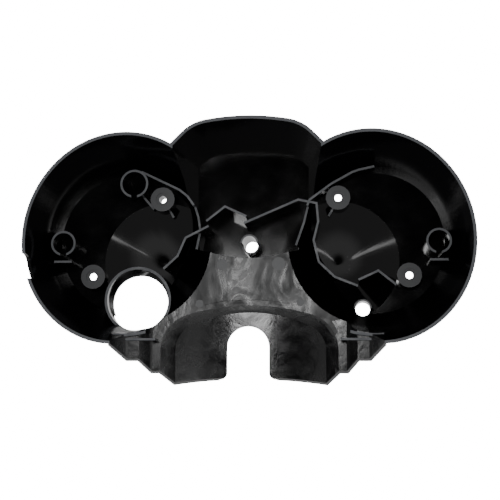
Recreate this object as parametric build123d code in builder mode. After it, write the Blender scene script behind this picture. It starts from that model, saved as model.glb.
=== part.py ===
"""Rear half of a twin-gauge motorcycle instrument housing, injection moulded in one piece.

The housing lies on its back: the mating rim faces up (+Z), +Y points to the lamp bay between
the two gauges and -Y to the rider, where the ignition lock passes through a notch.
The origin is on the flat underside of the lamp bay, midway between the gauges: the lowest plane.
Millimetres and degrees.
"""

import os
from math import asin, atan, cos, degrees, radians, sin, sqrt, tan

from build123d import *

# ---------------------------------------------------------------- overall shell
rim_height = 56.0  # mating rim above the lowest face
wall = 2.0  # general wall thickness
deck_height = 33.0  # flat deck between the gauges

# ---------------------------------------------------------------- gauge pods
pod_x = 73.7  # gauge centre from the middle
pod_y = 9.3
pod_rim_long = 62.6  # half length of the rim oval
pod_rim_short = 57.9  # half width of the rim oval
pod_rim_lean = 13.3  # the oval leans inwards at its top
pod_waist_radius = 50.8  # bowl at deck height
pod_shelf_radius = 42.5  # bowl at the shelf
shelf_height = 20.0  # top of the shelf in each pod

# ---------------------------------------------------------------- conical dish in each pod
dish_x = 52.8
dish_y = -1.9
dish_radius = 36.4  # at the shelf
dish_flat_radius = 7.0  # flat bottom, which the housing rests on

# ---------------------------------------------------------------- lamp bay
bay_top_y = 80.4  # crest of the rim
bay_crown_radius = 140.0
bay_shoulder_x = 32.8  # where the crest turns down to the pods
bay_side_x = 45.4  # where the bay meets the pods
bay_side_y = 63.9
bay_shoulder_radius = 26.0
bay_draft_run = 9.0  # the bay is this much narrower at its floor
bay_front_y = -0.8  # deck edge at the middle
bay_front_radius = 79.0

# ---------------------------------------------------------------- terraces and front edge
strip_outer_x = 57.3  # deck strip beside the lock pocket
step_inner_x = 63.6  # raised step
step_outer_x = 70.4
step_height = 43.3
terrace_end_x = 78.8  # where the terrace reaches the rim
front_rim_y = -52.3  # the slanting front edge starts here, at rim height
front_slope = 56.0  # slant of the front edge from the horizontal
bulkhead_y = -49.6
bulkhead_height = 45.0
bulkhead_inner_x = 54.0
bulkhead_outer_x = 72.0
lip_inner_radius = 55.6  # low wall between a gauge pod and its terrace
lip_outer_radius = 57.2
lip_height = 46.0
lip_inner_x = 59.5

# ---------------------------------------------------------------- ignition lock pocket
pocket_side_x = 52.6
pocket_top_y = -29.1
pocket_crown_radius = 129.0
pocket_corner_radius = 22.0
pocket_wall_angle = 53.0  # slope of the pocket wall from the horizontal
pocket_floor_height = 27.9  # crest of the crowned floor
pocket_floor_radius = 216.0
notch_x = -1.0
notch_y = -53.7  # centre of the round end
notch_radius = 12.5
notch_corner_radius = 4.0
notch_flare = 17.0  # half width at the front edge, where the corners end

# ---------------------------------------------------------------- deck seal grooves and ejector marks
groove_width = 2.2
groove_depth = 1.1
groove_gap = 2.3  # from the pocket edge to the middle of the long groove
groove_reach = 26.0
corner_groove = [(51.3, -45.2), (48.0, -39.2), (41.9, -35.6)]
mark_depth = 0.3
marks = [(-16.3, -4.7, 3.4), (17.4, -4.3, 4.0), (-29.6, -27.9, 2.4), (30.4, -27.2, 2.4)]

# ---------------------------------------------------------------- screw bosses
boss_circle_y = 12.1  # centre of the two screws of a pod
boss_circle_radius = 31.3
boss_angle = 48.2
boss_radius = 7.3
boss_height = 30.0
boss_web = 2.4  # plate under the screw head
screw_hole_radius = 2.2
screw_seat_radius = 4.0
screw_seat_depth = 0.8
boss_well_radius = 5.0
pilot_depth = 12.0  # blind hole of the upper left boss

# ---------------------------------------------------------------- mounting sleeves
bay_sleeve_x = -0.3
bay_sleeve_y = 8.6
bay_sleeve_step = 17.0  # the front half of a sleeve is lower
pod_sleeve_x = 67.0
pod_sleeve_y = -30.6
pod_sleeve_step = 21.0
sleeve_height = 29.0
sleeve_radius = 5.3
sleeve_bore_radius = 4.3

# ---------------------------------------------------------------- cable tunnel
tunnel_x = -67.0
tunnel_y = -26.7
tunnel_radius = 16.8
collar_x = -66.8
collar_y = -25.6
collar_radius = 20.0
collar_wall = 1.6
collar_height = 32.0

# ---------------------------------------------------------------- lamp holder tubes, open at one side
tube_x = 111.7
tube_y = 8.4
tube_radius = 7.5
upper_tube_x = -69.2
upper_tube_y = 44.2
upper_tube_radius = 8.5
tube_height = 36.0
tube_wall = 1.3
tube_gap = 3.6

# ---------------------------------------------------------------- light fences
fence = 1.3  # fence thickness
fence_height = 33.0
low_fence_height = 26.0
foot_rib_height = 22.0
foot_rib_x = 47.0
foot_rib_y = 25.5
lamp_rib_drop = 11.1  # rib in front of each side lamp tube
lamp_rib_half = 5.3

# ---------------------------------------------------------------- cable cut in the left side wall
side_cut_y = -14.6
side_cut_width = 14.7
side_cut_depth = 4.6
side_cut_radius = 4.2

# Fence runs, seen from above
left_fence = [(-24.5, 18.6), (-38.3, 11.6), (-43.0, 0.7), (-51.4, -7.0)]
bay_fence = [(-25.9, 21.6), (-14.7, 30.3), (-1.9, 24.3)]
right_fence = [
    (-3.2, 20.2), (29.1, 34.0), (40.0, 31.8), (41.0, 20.8), (38.2, 9.6),
    (41.3, -3.4), (50.7, -12.4), (64.2, -17.7),
]
corner_fence = [(64.6, -14.1), (76.2, -8.8), (86.7, -17.1)]
left_screen = [(-65.5, 52.0), (-42.4, 40.8), (-37.4, 36.8), (-33.5, 31.3)]
right_screen = [(74.4, 53.6), (65.5, 51.7), (61.4, 50.3), (49.0, 43.5), (35.9, 33.9), (34.5, 30.4)]
low_left_screen = [(-33.5, 31.3), (-31.5, 25.1), (-30.2, 16.5), (-32.5, 5.5)]
low_right_screen = [(34.5, 30.4), (32.3, 21.3), (27.5, 7.5)]
tube_rib = [(-65.4, 38.0), (-58.6, 30.1)]

# ---------------------------------------------------------------- derived sizes
clear = rim_height + 10.0  # cutters end above the rim
reach = 100.0  # cutters end in front of the housing
sides = (-1, 1)  # left and right
upwards = (Align.CENTER, Align.CENTER, Align.MIN)
downwards = (Align.CENTER, Align.CENTER, Align.MAX)
floor_edge_y = front_rim_y - (rim_height - pocket_floor_height + wall) / tan(radians(front_slope))
terrace_rise = degrees(atan((step_height - deck_height) / (step_inner_x - strip_outer_x)))


def frustum(x, y, low, high, low_radius, high_radius):
    """Upright cone between two heights."""
    with BuildPart() as form:
        with Locations((x, y, low)):
            Cone(low_radius, high_radius, high - low, align=upwards)
    return form.part


# Each volume below is the space inside the housing, or with skin=wall its outside.
def pod_volume(skin):
    """Right gauge pod: oval rim, round waist at deck height, shelf and conical dish."""
    narrowing = (pod_waist_radius - pod_shelf_radius) / (deck_height - shelf_height)
    floor = wall - skin
    shelf = shelf_height - skin
    low_radius = pod_shelf_radius + skin - narrowing * (shelf_height - floor)
    dish_slope = atan((shelf_height - wall) / (dish_radius - dish_flat_radius))
    shift = skin * tan(dish_slope / 2)
    dish = frustum(dish_x, dish_y, floor, shelf, dish_flat_radius + shift, dish_radius + shift)
    bowl = frustum(pod_x, pod_y, floor, deck_height, low_radius, pod_waist_radius + skin)
    with BuildPart() as hollow:
        with Locations((pod_x, pod_y, shelf)):
            Cylinder(pod_rim_long, deck_height - shelf, align=upwards)
        add(dish)
    with BuildPart() as volume:
        add(bowl)
        add(hollow.part, mode=Mode.INTERSECT)
        with BuildSketch(Plane.XY.offset(deck_height)) as waist:
            with Locations(Location((pod_x, pod_y, 0), (0, 0, 90 + pod_rim_lean))):
                Circle(pod_waist_radius + skin)
        with BuildSketch(Plane.XY.offset(rim_height)) as rim:
            with Locations(Location((pod_x, pod_y, 0), (0, 0, 90 + pod_rim_lean))):
                Ellipse(pod_rim_long - wall + skin, pod_rim_short - wall + skin)
        loft([waist.sketch, rim.sketch], ruled=True)
    return volume.part


def bay_section(height, inset):
    """Plan outline of the lamp bay, drawn at the rim and moved inwards by inset."""
    shoulder_y = bay_top_y - bay_crown_radius + sqrt(bay_crown_radius**2 - bay_shoulder_x**2)
    with BuildSketch(Plane.XY.offset(height)) as outline:
        with BuildLine():
            Polyline((-bay_shoulder_x, shoulder_y), (-bay_side_x, bay_side_y), (-bay_side_x, -reach),
                     (bay_side_x, -reach), (bay_side_x, bay_side_y), (bay_shoulder_x, shoulder_y))
            ThreePointArc((bay_shoulder_x, shoulder_y), (0, bay_top_y), (-bay_shoulder_x, shoulder_y))
        make_face()
        fillet(outline.vertices().group_by(Axis.Y)[-1], bay_shoulder_radius)
        offset(amount=-inset, kind=Kind.INTERSECTION)
    return outline.sketch


def bay_volume(skin):
    """Lamp bay between the pods; below the deck it stays outside the round pods."""
    floor = wall - skin
    sections = [bay_section(floor, wall - skin + bay_draft_run), bay_section(rim_height, wall - skin)]
    with BuildPart() as volume:
        loft(sections, ruled=True)
        with Locations((0, bay_front_y + bay_front_radius, floor)):
            Cylinder(bay_front_radius + skin, rim_height, align=upwards, mode=Mode.INTERSECT)
        with Locations((-pod_x, pod_y, floor), (pod_x, pod_y, floor)):
            Cylinder(pod_shelf_radius - skin, deck_height - floor, align=upwards, mode=Mode.SUBTRACT)
    return volume.part


def front_volume(skin):
    """Space over the deck and over the stepped terraces at both sides of the lock pocket."""
    shift = skin * tan(radians(terrace_rise) / 2)
    half = [
        (strip_outer_x + shift, deck_height - skin),
        (step_inner_x + shift, step_height - skin),
        (step_outer_x + shift, step_height - skin),
        (terrace_end_x + shift, rim_height - skin),
        (terrace_end_x + shift, rim_height + wall - skin),
    ]
    with BuildPart() as volume:
        with BuildSketch(Plane.XZ.offset(reach)):
            with BuildLine():
                Polyline(*[(-x, z) for x, z in reversed(half)], *half, close=True)
            make_face()
        extrude(amount=-reach - pod_y)
    return volume.part


def pocket_volume(skin):
    """Recess for the ignition lock: arched sloping wall down to a crowned floor."""
    corner_y = pocket_top_y - pocket_crown_radius + sqrt(pocket_crown_radius**2 - pocket_side_x**2)
    top = deck_height - skin
    depth = pocket_floor_radius * (1 - cos(asin(pocket_side_x / pocket_floor_radius)))
    low = pocket_floor_height - depth - skin
    inset = (top - low) / tan(radians(pocket_wall_angle))
    with BuildSketch() as arch:
        with BuildLine():
            Polyline((-pocket_side_x, corner_y), (-pocket_side_x, -reach), (pocket_side_x, -reach),
                     (pocket_side_x, corner_y))
            ThreePointArc((pocket_side_x, corner_y), (0, pocket_top_y), (-pocket_side_x, corner_y))
        make_face()
        fillet(arch.vertices().group_by(Axis.Y)[-1], pocket_corner_radius)
    grow = skin * tan(radians(pocket_wall_angle) / 2)
    with BuildPart() as volume:
        with BuildSketch(Plane.XY.offset(top)) as mouth:
            add(arch.sketch)
            offset(amount=grow)
        with BuildSketch(Plane.XY.offset(low)) as bottom:
            add(arch.sketch)
            offset(amount=grow - inset)
        loft([bottom.sketch, mouth.sketch], ruled=True)
        with Locations(Location((0, 0, pocket_floor_height - pocket_floor_radius), (90, 0, 0))):
            Cylinder(pocket_floor_radius - skin, 4 * reach, mode=Mode.SUBTRACT)
    return volume.part


def inside(skin):
    """The whole space inside the housing, or its outside with skin=wall."""
    pod = pod_volume(skin)
    others = [bay_volume(skin), front_volume(skin), pocket_volume(skin)]
    with BuildPart() as volume:
        add(pod)
        mirror(about=Plane.YZ)
        add(others)
    return volume.part


space = inside(0)
solid_form = inside(wall)

with BuildPart() as outside:
    add(solid_form)
    with BuildSketch(Plane.YZ.offset(-2 * reach)):
        lean = 1 / tan(radians(front_slope))
        with BuildLine():
            Polyline((front_rim_y + (clear - rim_height) * lean, clear),
                     (front_rim_y - rim_height * lean, 0), (-2 * reach, 0), (-2 * reach, clear), close=True)
        make_face()
    extrude(amount=4 * reach, mode=Mode.SUBTRACT)


def post(x, y, radius, height):
    """Upright round post, trimmed to the housing later."""
    with BuildPart() as form:
        with Locations((x, y)):
            Cylinder(radius, height, align=upwards)
    return form.part


def fence_wall(points, height):
    """Thin upright wall along straight runs."""
    with BuildPart() as form:
        with BuildSketch():
            with BuildLine():
                Polyline(*points)
            trace(line_width=fence)
        extrude(amount=height)
    return form.part


def terrace_lip(side):
    """Low curved wall where a terrace meets its gauge pod."""
    with BuildPart() as form:
        with BuildSketch():
            with Locations((side * pod_x, pod_y)):
                Circle(lip_outer_radius)
                Circle(lip_inner_radius, mode=Mode.SUBTRACT)
            with Locations((side * (lip_inner_x + terrace_end_x) / 2, pod_y)):
                Rectangle(terrace_end_x - lip_inner_x, 2 * reach, align=(Align.CENTER, Align.MAX),
                          mode=Mode.INTERSECT)
        extrude(amount=lip_height)
    return form.part


def sleeve(x, y, step):
    """Mounting sleeve whose front half is cut down to a step."""
    with BuildPart() as form:
        with Locations((x, y)):
            Cylinder(sleeve_radius, sleeve_height, align=upwards)
        with Locations((x, y, step)):
            Box(2 * sleeve_radius, sleeve_radius, sleeve_height, align=(Align.CENTER, Align.MAX, Align.MIN),
                mode=Mode.SUBTRACT)
    return form.part


def lamp_tube(x, y, radius):
    """Round socket with a slot towards the rider."""
    with BuildPart() as form:
        with BuildSketch():
            with Locations((x, y)):
                Circle(radius)
                Circle(radius - tube_wall, mode=Mode.SUBTRACT)
            with Locations((x, y - radius)):
                Rectangle(tube_gap, radius, mode=Mode.SUBTRACT)
        extrude(amount=tube_height)
    return form.part


def boss_places(side):
    """Screw places of a pod: the upper one nearer the middle, the lower one nearer the side."""
    across = boss_circle_radius * cos(radians(boss_angle))
    up = boss_circle_radius * sin(radians(boss_angle))
    return [(side * (pod_x - across), boss_circle_y + up), (side * (pod_x + across), boss_circle_y - up)]


bosses = [place for side in sides for place in boss_places(side)]
blind_boss = bosses[0]
through_bosses = bosses[1:]

posts = [post(x, y, boss_radius, boss_height) for x, y in bosses]
posts.append(sleeve(bay_sleeve_x, bay_sleeve_y, bay_sleeve_step))
posts.append(sleeve(pod_sleeve_x, pod_sleeve_y, pod_sleeve_step))
posts.append(post(collar_x, collar_y, collar_radius, collar_height))
tubes = [lamp_tube(side * tube_x, tube_y, tube_radius) for side in sides]
tubes.append(lamp_tube(upper_tube_x, upper_tube_y, upper_tube_radius))
runs = (left_fence, bay_fence, right_fence, corner_fence, left_screen, right_screen)
fences = [fence_wall(run, fence_height) for run in runs]
fences += [fence_wall(run, low_fence_height) for run in (low_left_screen, low_right_screen, tube_rib)]
for side in sides:
    bulkhead = [(side * bulkhead_inner_x, bulkhead_y), (side * bulkhead_outer_x, bulkhead_y)]
    fences.append(fence_wall(bulkhead, bulkhead_height))
    foot_rib = [boss_places(side)[0], (side * foot_rib_x, foot_rib_y)]
    fences.append(fence_wall(foot_rib, foot_rib_height))
    rib_y = tube_y - lamp_rib_drop
    lamp_rib = [(side * tube_x - lamp_rib_half, rib_y), (side * tube_x + lamp_rib_half, rib_y)]
    fences.append(fence_wall(lamp_rib, tube_height))
    fences.append(terrace_lip(side))

# The posts, tubes and fences are left standing when the inside is hollowed out.
with BuildPart() as hollow:
    add(space)
    add(posts + tubes + fences, mode=Mode.SUBTRACT)

with BuildPart() as gauge_housing:
    add(outside.part)
    add(hollow.part, mode=Mode.SUBTRACT)
    # Screw seats on all bosses; the screws of three come up through wells from below.
    with Locations(*[(x, y, boss_height) for x, y in bosses]):
        Cylinder(screw_seat_radius, screw_seat_depth, align=downwards, mode=Mode.SUBTRACT)
    with Locations(*[(x, y, boss_height - boss_web) for x, y in through_bosses]):
        Cylinder(boss_well_radius, boss_height, align=downwards, mode=Mode.SUBTRACT)
    with Locations(*[(x, y, boss_height) for x, y in through_bosses]):
        Cylinder(screw_hole_radius, boss_height, align=downwards, mode=Mode.SUBTRACT)
    # The upper left boss has a blind pilot hole.
    with Locations((*blind_boss, boss_height)):
        Cylinder(screw_hole_radius, pilot_depth, align=downwards, mode=Mode.SUBTRACT)
    # The cable collar is hollow above and below its floor.
    with Locations((collar_x, collar_y, shelf_height)):
        Cylinder(collar_radius - collar_wall, rim_height, align=upwards, mode=Mode.SUBTRACT)
    with Locations((collar_x, collar_y, shelf_height - wall)):
        Cylinder(collar_radius - collar_wall, rim_height, align=downwards, mode=Mode.SUBTRACT)
    # Mounting sleeves and the cable tunnel go right through.
    with Locations((bay_sleeve_x, bay_sleeve_y), (pod_sleeve_x, pod_sleeve_y)):
        Cylinder(sleeve_bore_radius, 2 * rim_height, mode=Mode.SUBTRACT)
    with Locations((tunnel_x, tunnel_y)):
        Cylinder(tunnel_radius, 2 * rim_height, mode=Mode.SUBTRACT)
    # Notch for the ignition lock.
    with BuildSketch() as lock_notch:
        with Locations((notch_x, notch_y)):
            Circle(notch_radius)
        with Locations((notch_x, notch_y)):
            Rectangle(2 * notch_radius, notch_y - floor_edge_y, align=(Align.CENTER, Align.MAX))
        with Locations((notch_x, floor_edge_y - reach / 2)):
            Rectangle(2 * notch_flare, reach)
        fillet(lock_notch.vertices().group_by(Axis.Y)[1].sort_by(Axis.X)[1:3], notch_corner_radius)
    extrude(amount=deck_height, mode=Mode.SUBTRACT)
    # Seal grooves along the pocket, and round ejector marks.
    groove_y = pocket_top_y + groove_gap
    groove_end_y = groove_y - pocket_crown_radius + sqrt(pocket_crown_radius**2 - groove_reach**2)
    with BuildSketch(Plane.XY.offset(deck_height)):
        with BuildLine():
            ThreePointArc((-groove_reach, groove_end_y), (0, groove_y), (groove_reach, groove_end_y))
        trace(line_width=groove_width)
    extrude(amount=-groove_depth, mode=Mode.SUBTRACT)
    for side in sides:
        with BuildSketch(Plane.XY.offset(deck_height)):
            with BuildLine():
                Polyline(*[(side * x, y) for x, y in corner_groove])
            trace(line_width=groove_width)
        extrude(amount=-groove_depth, mode=Mode.SUBTRACT)
    with BuildSketch(Plane.XY.offset(deck_height)):
        for x, y, radius in marks:
            with Locations((x, y)):
                Circle(radius)
    extrude(amount=-mark_depth, mode=Mode.SUBTRACT)
    # Cable cut in the left wall: straight below, quarter round above.
    with BuildSketch(Plane.YZ.offset(-tube_x)) as side_cut:
        cut_end_y = side_cut_y + side_cut_width
        cut_bottom = rim_height - side_cut_depth
        with BuildLine():
            Polyline((cut_end_y, clear), (cut_end_y, cut_bottom), (side_cut_y, cut_bottom),
                     (side_cut_y, clear), close=True)
        make_face()
        fillet(side_cut.vertices().group_by(Axis.Y)[0].sort_by(Axis.X)[-1], side_cut_radius)
    extrude(amount=-reach, mode=Mode.SUBTRACT)

gauge_housing.part.label = "gauge_housing"
os.makedirs("parts", exist_ok=True)
export_step(gauge_housing.part, "parts/gauge_housing.step")
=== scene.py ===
# %% [markdown]
# # A moulded gauge housing
# This lesson dresses the rear half of a motorcycle gauge housing. The real one is a single shot of
# black ABS. The CAD model fixes every size and shape, so Blender adds what the mould and the light
# add: a polished skin in the bowls, a duller skin on the deck, rough edges with a painted highlight,
# and a studio.

# %% Load the fixed frame
from math import cos, radians, sin

import bpy
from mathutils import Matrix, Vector


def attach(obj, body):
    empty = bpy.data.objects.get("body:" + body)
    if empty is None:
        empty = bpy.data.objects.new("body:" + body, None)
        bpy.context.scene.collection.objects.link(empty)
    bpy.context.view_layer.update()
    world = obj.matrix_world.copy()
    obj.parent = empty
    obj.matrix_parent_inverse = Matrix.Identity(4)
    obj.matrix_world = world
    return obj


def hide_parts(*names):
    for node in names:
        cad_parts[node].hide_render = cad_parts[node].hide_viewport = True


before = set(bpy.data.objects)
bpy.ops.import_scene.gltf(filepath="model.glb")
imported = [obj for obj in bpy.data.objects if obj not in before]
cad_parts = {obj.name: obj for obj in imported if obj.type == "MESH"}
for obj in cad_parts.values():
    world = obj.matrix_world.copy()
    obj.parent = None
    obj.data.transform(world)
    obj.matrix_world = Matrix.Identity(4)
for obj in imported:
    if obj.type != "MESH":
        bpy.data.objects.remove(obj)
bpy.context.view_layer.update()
millimetre = 0.001

# %% [markdown]
# ## Camera
# The housing lies on its back and the camera looks down on it, leaning a few degrees towards the
# rider's side. A long lens from about 75 cm keeps the bowls nearly round.

# %% Place the camera
scene = bpy.context.scene
camera_data = bpy.data.cameras.new("camera")
camera = bpy.data.objects.new("camera", camera_data)
scene.collection.objects.link(camera)
camera.location = (0.0579, -0.0842, 0.7482)
camera.rotation_euler = (radians(7.014), radians(4.576), radians(0.154))
camera_data.angle = radians(23.24)
scene.camera = camera
print("camera height in mm:", round(camera.location.z / millimetre, 1))


# %% [markdown]
# ## Colours and nodes
# Colours are written as hex codes, as a paint chart gives them, and one function turns them to the
# linear values that shaders use. One more function adds any node. Each of its inputs gets either a
# value or the output of another node, so it serves noise, bumps and sums alike.

# %% Helpers for colours and nodes
def hex_linear(code):
    """Linear RGBA from an sRGB hex code."""
    parts = [int(code[i:i + 2], 16) / 255 for i in (1, 3, 5)]
    return [p / 12.92 if p <= 0.04045 else ((p + 0.055) / 1.055) ** 2.4 for p in parts] + [1.0]


def add_node(tree, kind, settings=None, inputs=None):
    """Add one node, set its properties, and give each input a value or another node's output."""
    node = tree.nodes.new(kind)
    for name, value in (settings or {}).items():
        setattr(node, name, value)
    for name, value in (inputs or {}).items():
        if isinstance(value, bpy.types.NodeSocket):
            tree.links.new(value, node.inputs[name])
        else:
            node.inputs[name].default_value = value
    return node


print("white in linear values:", hex_linear("#ffffff"))


# %% [markdown]
# Every finish of the housing is the same black ABS, with an index of refraction near 1.54. What the
# mould changes is how smooth the skin is, and no moulded skin is equally smooth all over. So one
# function starts a plastic, and another lets a noise pattern swing its roughness between two values.

# %% Helpers for plastics
abs_refraction = 1.54


def start_plastic(name, colour, roughness, ior=abs_refraction):
    """A plastic with its colour, refraction and plain roughness, which a pattern may replace."""
    material = bpy.data.materials.new(name)
    material.use_nodes = True
    shader = material.node_tree.nodes["Principled BSDF"]
    shader.inputs["Base Color"].default_value = hex_linear(colour)
    shader.inputs["Roughness"].default_value = roughness
    shader.inputs["IOR"].default_value = ior
    return material, material.node_tree, shader


def patchy_skin(tree, shader, place, noise, noise_range, roughness_range):
    """Swing the roughness with a noise pattern, whose output is returned for a bump."""
    pattern = add_node(tree, "ShaderNodeTexNoise", inputs={"Vector": place, **noise}).outputs["Fac"]
    spread = add_node(tree, "ShaderNodeMapRange",
                      inputs={"Value": pattern, "From Min": noise_range[0], "From Max": noise_range[1],
                              "To Min": roughness_range[0], "To Max": roughness_range[1]})
    tree.links.new(spread.outputs["Result"], shader.inputs["Roughness"])
    print("roughness from", roughness_range[0], "to", roughness_range[1])
    return pattern


print("refraction of ABS:", abs_refraction)


# %% [markdown]
# ## Polished ABS
# The bowls, the lamp bay and the outside come from polished steel, so they mirror their
# surroundings. A handling haze in patches about 17 mm apart keeps the mirror from looking like glass.

# %% Polished ABS
haze_per_metre = 60.0
polished, tree, shader = start_plastic("polished black ABS", "#040405", 0.14)
place = add_node(tree, "ShaderNodeTexCoord").outputs["Object"]
patchy_skin(tree, shader, place, {"Scale": haze_per_metre, "Detail": 5.0, "Roughness": 0.6},
            noise_range=(0.35, 0.75), roughness_range=(0.08, 0.14))

# %% [markdown]
# The toolmaker polished each bowl up and down its wall, which left faint streaks that all point at
# the gauge centre. They are far too shallow to model, so they are heights that only bend the
# shading, on the walls above the shelf. The left side is the mirror of the right one, so distances
# are measured from the size of x.

# %% Polishing streaks
gauge_x, gauge_y = 73.7 * millimetre, 9.3 * millimetre
bowl_reach, wall_foot = 62.6 * millimetre, 21 * millimetre
streaks_per_radian, streak_share = 22.0, 0.35
axes = add_node(tree, "ShaderNodeSeparateXYZ", inputs={"Vector": place})
depth, height = axes.outputs["Y"], axes.outputs["Z"]
side = add_node(tree, "ShaderNodeMath", {"operation": "ABSOLUTE"}, {0: axes.outputs["X"]}).outputs[0]
up = add_node(tree, "ShaderNodeMath", {"operation": "SUBTRACT"}, {0: depth, 1: gauge_y}).outputs[0]
out = add_node(tree, "ShaderNodeMath", {"operation": "SUBTRACT"}, {0: side, 1: gauge_x}).outputs[0]
turn = add_node(tree, "ShaderNodeMath", {"operation": "ARCTAN2"}, {0: up, 1: out}).outputs[0]
along_wall = add_node(tree, "ShaderNodeCombineXYZ", inputs={"X": turn, "Y": height}).outputs[0]
streaks = add_node(tree, "ShaderNodeTexNoise",
                   inputs={"Vector": along_wall, "Scale": streaks_per_radian, "Detail": 5.0,
                           "Roughness": 0.7})
seen_flat = add_node(tree, "ShaderNodeCombineXYZ", inputs={"X": side, "Y": depth}).outputs[0]
from_gauge = add_node(tree, "ShaderNodeVectorMath", {"operation": "DISTANCE"},
                      {0: seen_flat, 1: (gauge_x, gauge_y, 0)}).outputs["Value"]
in_bowl = add_node(tree, "ShaderNodeMath", {"operation": "LESS_THAN"}, {0: from_gauge, 1: bowl_reach})
above_foot = add_node(tree, "ShaderNodeMath", {"operation": "GREATER_THAN"}, {0: height, 1: wall_foot})
on_wall = add_node(tree, "ShaderNodeMath", {"operation": "MULTIPLY"},
                   {0: in_bowl.outputs[0], 1: above_foot.outputs[0]}).outputs[0]
streak_strength = add_node(tree, "ShaderNodeMath", {"operation": "MULTIPLY"}, {0: on_wall, 1: streak_share})
polish = add_node(tree, "ShaderNodeBump",
                  inputs={"Distance": 0.4 * millimetre, "Height": streaks.outputs["Fac"],
                          "Strength": streak_strength.outputs[0]})
print("nodes for haze and streaks:", len(tree.nodes))

# %% [markdown]
# The dish under each gauge is a true cone in the mesh, with a small flat at its foot. Shading alone
# softens its slope towards that foot, so that the streak of light on it fades to a point. The
# height added here is the wanted curve less the cone: the curve's slope grows evenly from a quarter
# of the cone's slope at the middle to the whole of it at the rim.

# %% Soften the dish
dish_x, dish_y, dish_radius, dish_flat = (v * millimetre for v in (52.8, -1.9, 36.4, 7.0))
cone_slope, middle_share = 0.612, 0.25
from_dish = add_node(tree, "ShaderNodeVectorMath", {"operation": "DISTANCE"},
                     {0: seen_flat, 1: (dish_x, dish_y, 0)}).outputs["Value"]
reach = add_node(tree, "ShaderNodeMath", {"operation": "MINIMUM"},
                 {0: from_dish, 1: dish_radius}).outputs[0]
mean_slope = add_node(tree, "ShaderNodeMath", {"operation": "MULTIPLY_ADD"},
                      {0: reach, 1: cone_slope * (1 - middle_share) / (2 * dish_radius),
                       2: cone_slope * middle_share}).outputs[0]
curve = add_node(tree, "ShaderNodeMath", {"operation": "MULTIPLY"}, {0: mean_slope, 1: reach})
past_flat = add_node(tree, "ShaderNodeMath", {"operation": "SUBTRACT"}, {0: reach, 1: dish_flat})
cone_reach = add_node(tree, "ShaderNodeMath", {"operation": "MAXIMUM"},
                      {0: past_flat.outputs[0], 1: 0.0})
cone = add_node(tree, "ShaderNodeMath", {"operation": "MULTIPLY"},
                {0: cone_reach.outputs[0], 1: cone_slope})
hollow = add_node(tree, "ShaderNodeMath", {"operation": "SUBTRACT"},
                  {0: curve.outputs[0], 1: cone.outputs[0]})
sink = add_node(tree, "ShaderNodeBump",
                inputs={"Strength": 1.0, "Distance": 1.0, "Height": hollow.outputs[0],
                        "Normal": polish.outputs["Normal"]})
tree.links.new(sink.outputs["Normal"], shader.inputs["Normal"])
print("nodes in the polished skin:", len(tree.nodes))

# %% [markdown]
# ## Eroded ABS
# The deck and its corners face the mould's spark-eroded inserts. Their skin is duller, and the melt
# that met there left pale flow marks. The marks are about 13 mm apart, and longer along y.

# %% Eroded ABS
marks_per_metre = 75.0
eroded, tree, shader = start_plastic("eroded black ABS", "#08090a", 0.3)
place = add_node(tree, "ShaderNodeTexCoord").outputs["Object"]
stretch = add_node(tree, "ShaderNodeMapping", inputs={"Vector": place, "Scale": (1.0, 0.55, 1.0)})
flow_noise = {"Scale": marks_per_metre, "Detail": 6.0, "Roughness": 0.62, "Distortion": 1.4}
flow = patchy_skin(tree, shader, stretch.outputs["Vector"], flow_noise,
                   noise_range=(0.35, 0.68), roughness_range=(0.2, 0.5))
marks = add_node(tree, "ShaderNodeBump",
                 inputs={"Strength": 0.5, "Distance": 0.6 * millimetre, "Height": flow})
tree.links.new(marks.outputs["Normal"], shader.inputs["Normal"])

# %% [markdown]
# The crowned floor of the lock pocket and the strips beside it come from another insert. It was
# blasted, so the skin is rougher than in the bowls and spreads light into soft bands. The clouds in
# it are about 11 mm apart.

# %% Blasted ABS
clouds_per_metre = 90.0
blasted, tree, shader = start_plastic("blasted black ABS", "#060607", 0.2)
place = add_node(tree, "ShaderNodeTexCoord").outputs["Object"]
cloud_noise = {"Scale": clouds_per_metre, "Detail": 5.0, "Roughness": 0.6, "Distortion": 0.8}
cloud = patchy_skin(tree, shader, place, cloud_noise,
                    noise_range=(0.35, 0.65), roughness_range=(0.13, 0.28))
pits = add_node(tree, "ShaderNodeBump",
                inputs={"Strength": 0.3, "Distance": 0.5 * millimetre, "Height": cloud})
tree.links.new(pits.outputs["Normal"], shader.inputs["Normal"])

# %% [markdown]
# ## Parting edge
# The rim is where the two mould halves close, and the rib tops are where the slots of the core end.
# Both are rough, so they scatter light. Their pale grey colour is a painted highlight, so they read
# as fine grey lines in and round the black bowls. The roughness changes about every 5 mm.

# %% Parting edge
rubs_per_metre = 220.0
# The pale grey base colour is a painted highlight on the rim and rib tops.
edge, tree, shader = start_plastic("rough black ABS edge with painted highlight", "#4c4e52", 0.42)
place = add_node(tree, "ShaderNodeTexCoord").outputs["Object"]
patchy_skin(tree, shader, place, {"Scale": rubs_per_metre, "Detail": 4.0},
            noise_range=(0.3, 0.7), roughness_range=(0.3, 0.55))

# %% [markdown]
# The boss faces and the round ejector marks come from separate core pins. They are duller and paler
# than the bowls. They are small, so one roughness serves all over them.

# %% Boss faces
boss_face, tree, shader = start_plastic("as-moulded black ABS boss face", "#26282b", 0.36)
print("boss face roughness:", round(shader.inputs["Roughness"].default_value, 2))

# %% [markdown]
# ## The moulded skin
# The CAD node itself is never changed. A copy of it carries the finishes and stands for it, and the
# copy's loose triangles are merged first.

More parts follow.
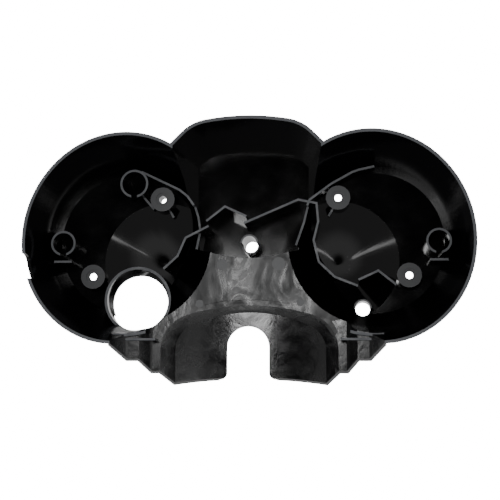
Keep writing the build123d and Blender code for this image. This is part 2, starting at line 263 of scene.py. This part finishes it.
# %% Copy the housing
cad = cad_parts["gauge_housing"]
housing = cad.copy()
housing.data = cad.data.copy()
housing.name = "housing_skin"
scene.collection.objects.link(housing)
bpy.ops.object.select_all(action="DESELECT")
housing.select_set(True)
bpy.context.view_layer.objects.active = housing
bpy.ops.object.mode_set(mode="EDIT")
bpy.ops.mesh.select_all(action="SELECT")
bpy.ops.mesh.remove_doubles(threshold=0.01 * millimetre)
bpy.ops.object.mode_set(mode="OBJECT")
print("triangles after merging:", len(housing.data.polygons))

# %% [markdown]
# Each finish belongs to one part of the mould, so a face is given its finish by where it lies and
# which way it faces. The levels, in millimetres, are the heights at which the ribs, bosses and
# terraces end. A circle round each bowl and one round the lamp bay tell the hollows from the rest.

# %% Measure the hollows
deck_level, rim_level, mark_floor = 33, 56, 32.7
rib_tops = (22, 26, 32, deck_level, 36)
boss_tops = (29, 29.2, 30)
terrace_tops = (45, 46, rim_level)
level_slack, eroded_from = 0.1, deck_level - 2
bowl_centre, bowl_radius = Vector((gauge_x, gauge_y)) / millimetre, 50.5
bay_centre, bay_radius = Vector((0, 78.2)), 78.7
deck_back, deck_side, insert_side = 4, 51.5, 79
flat_facing, steep_facing = 0.98, 0.3
print("deck is below the rim by mm:", rim_level - deck_level)


# %% [markdown]
# A flat face on a terrace's level is a rough edge with a painted highlight, and so is one on a rib's
# level in a hollow. One on a boss's level there is a boss face. The rest of the hollows, the outside
# and all steep faces are polished. What is left, on the rider's side, is an ejector mark, eroded or
# blasted.

# %% Name the surfaces
def surface_kind(face):
    """0 polished, 1 eroded, 2 edge, 3 boss face, 4 blasted, told by place and direction."""
    x, y, z = (v / millimetre for v in face.center)
    in_bowl = (Vector((abs(x), y)) - bowl_centre).length < bowl_radius
    in_hollow = in_bowl or (Vector((x, y)) - bay_centre).length < bay_radius

    def lies_at(*levels):
        return face.normal.z > flat_facing and any(abs(z - level) < level_slack for level in levels)

    if lies_at(*terrace_tops) or in_hollow and lies_at(*rib_tops):
        return 2
    if in_hollow and lies_at(*boss_tops):
        return 3
    if in_hollow or y > deck_back or face.normal.z < steep_facing or abs(x) > insert_side:
        return 0
    if lies_at(mark_floor):
        return 3
    return 1 if z > eroded_from and abs(x) < deck_side else 4


housing.data.materials.clear()
for material in (polished, eroded, edge, boss_face, blasted):
    housing.data.materials.append(material)
for face in housing.data.polygons:
    face.material_index = surface_kind(face)
kinds = [face.material_index for face in housing.data.polygons]
print("polished, eroded, edge, boss, blasted:", [kinds.count(kind) for kind in range(5)])

# %% [markdown]
# The merged copy still has a seam along every triangle. Flat areas become one face each, with the
# borders between two finishes kept.

# %% Join flat areas
bpy.ops.object.mode_set(mode="EDIT")
bpy.ops.mesh.select_all(action="SELECT")
bpy.ops.mesh.dissolve_limited(angle_limit=radians(0.2), delimit={"MATERIAL"})
bpy.ops.object.mode_set(mode="OBJECT")
print("faces after joining flat areas:", len(housing.data.polygons))

# %% [markdown]
# Gloss shows every fault in the shading, so flat areas must stay flat right up to their corners. A
# bevel runs round every corner to support them. Its overlap clamp holds it to a few thousandths of
# a millimetre, far too narrow to see, so the corners look sharp. What counts is that it marks the
# strength of each face, which the weighted normals then follow.

# %% Support the corners
support = housing.modifiers.new("support", "BEVEL")
support.width = 0.4 * millimetre
support.segments = 2
support.limit_method = "ANGLE"
support.angle_limit = radians(25)
support.use_clamp_overlap = True
support.face_strength_mode = "FSTR_ALL"
bpy.ops.object.modifier_apply(modifier="support")
bpy.ops.object.shade_smooth_by_angle(angle=radians(24))
flatness = housing.modifiers.new("flatness", "WEIGHTED_NORMAL")
flatness.mode = "CORNER_ANGLE"
flatness.keep_sharp = True
flatness.use_face_influence = True
bpy.ops.object.modifier_apply(modifier="flatness")
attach(housing, "root")
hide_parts("gauge_housing")
print("faces with supported corners:", len(housing.data.polygons))

# %% [markdown]
# ## Table
# The housing lies on a white light table, as dark parts are shown in catalogues: the glow from
# below washes out the shadows, and the cable tunnel and the screw holes show as clear white. The
# full glow is only for what the camera sees straight. Light that reaches the housing is weaker, or
# it would turn the black walls grey.

# %% Light table
bpy.ops.object.select_all(action="DESELECT")
bpy.ops.mesh.primitive_plane_add(size=5.0, location=(0, 0, 0))
table = bpy.context.object
table.name = "light_table"
opal, tree, shader = start_plastic("opal acrylic light table", "#ffffff", 0.6, ior=1.49)
shader.inputs["Emission Color"].default_value = hex_linear("#ffffff")
sight = add_node(tree, "ShaderNodeLightPath")
glow = add_node(tree, "ShaderNodeMapRange",
                inputs={"Value": sight.outputs["Is Camera Ray"], "To Min": 0.8, "To Max": 16.0})
tree.links.new(glow.outputs["Result"], shader.inputs["Emission Strength"])
table.data.materials.append(opal)
print("table width in m:", round(table.dimensions.x, 2))


# %% [markdown]
# ## Lights
# Black gloss shows lights rather than colour. A soft box, a little higher than the camera and across
# the deck from it, is mirrored by the flat deck. Two narrow strips at the sides draw a bright streak
# down each conical dish, and two low boxes light the walls of the bowls.

# %% Lamps
def soft_box(name, place, target, size, power):
    """A rectangular lamp aimed at a point."""
    data = bpy.data.lights.new(name, "AREA")
    data.shape = "RECTANGLE"
    data.size, data.size_y = size
    data.energy = power
    lamp = bpy.data.objects.new(name, data)
    scene.collection.objects.link(lamp)
    lamp.location = place
    lamp.rotation_euler = (Vector(target) - lamp.location).to_track_quat("-Z", "Y").to_euler()


overhead = Vector((-0.0525, 0.038, 0.82))
overhead_size, overhead_power = (0.205, 0.09), 1.1
soft_box("overhead box", overhead, (*overhead.xy, 0), overhead_size, overhead_power)
dish_middle, lamp_distance = Vector((0, 0, 0.01)), 1.0
strip_size, strip_power = (0.05, 0.75), 0.45
low_size, low_power = (0.45, 0.2), 1.2
side_lamps = (("right strip", -26, 48, strip_size, strip_power),
              ("left strip", -166, 45, strip_size, strip_power),
              ("low right box", -8, 14, low_size, low_power),
              ("low left box", -160, 14, low_size, low_power))
for name, compass, rise, size, power in side_lamps:
    across = cos(radians(rise))
    toward = Vector((across * cos(radians(compass)), across * sin(radians(compass)), sin(radians(rise))))
    soft_box(name, toward * lamp_distance, dish_middle, size, power)

# %% [markdown]
# A grey room fills in the rest. It is bright at the horizon, dim above, has one soft ring near the
# top, and is almost black straight overhead, where the flat areas would mirror it.

# %% Room
room = scene.world or bpy.data.worlds.new("room")
scene.world = room
room.use_nodes = True
tree = room.node_tree
direction = add_node(tree, "ShaderNodeTexCoord").outputs["Generated"]
axes = add_node(tree, "ShaderNodeSeparateXYZ", inputs={"Vector": direction})
tent = add_node(tree, "ShaderNodeValToRGB", inputs={"Fac": axes.outputs["Z"]})
horizon, overhead_patch = tent.color_ramp.elements
horizon.color, horizon.position = (1, 1, 1, 1), 0.3
overhead_patch.color, overhead_patch.position = (0.002, 0.002, 0.002, 1), 0.955
for position, grey in ((0.4, 0.12), (0.8, 0.12), (0.87, 0.3), (0.93, 0.3)):
    ring = tent.color_ramp.elements.new(position)
    ring.color = (grey, grey, grey, 1)
tree.links.new(tent.outputs["Color"], tree.nodes["Background"].inputs["Color"])
tree.nodes["Background"].inputs["Strength"].default_value = 2.0
print("steps of grey in the room:", len(tent.color_ramp.elements))
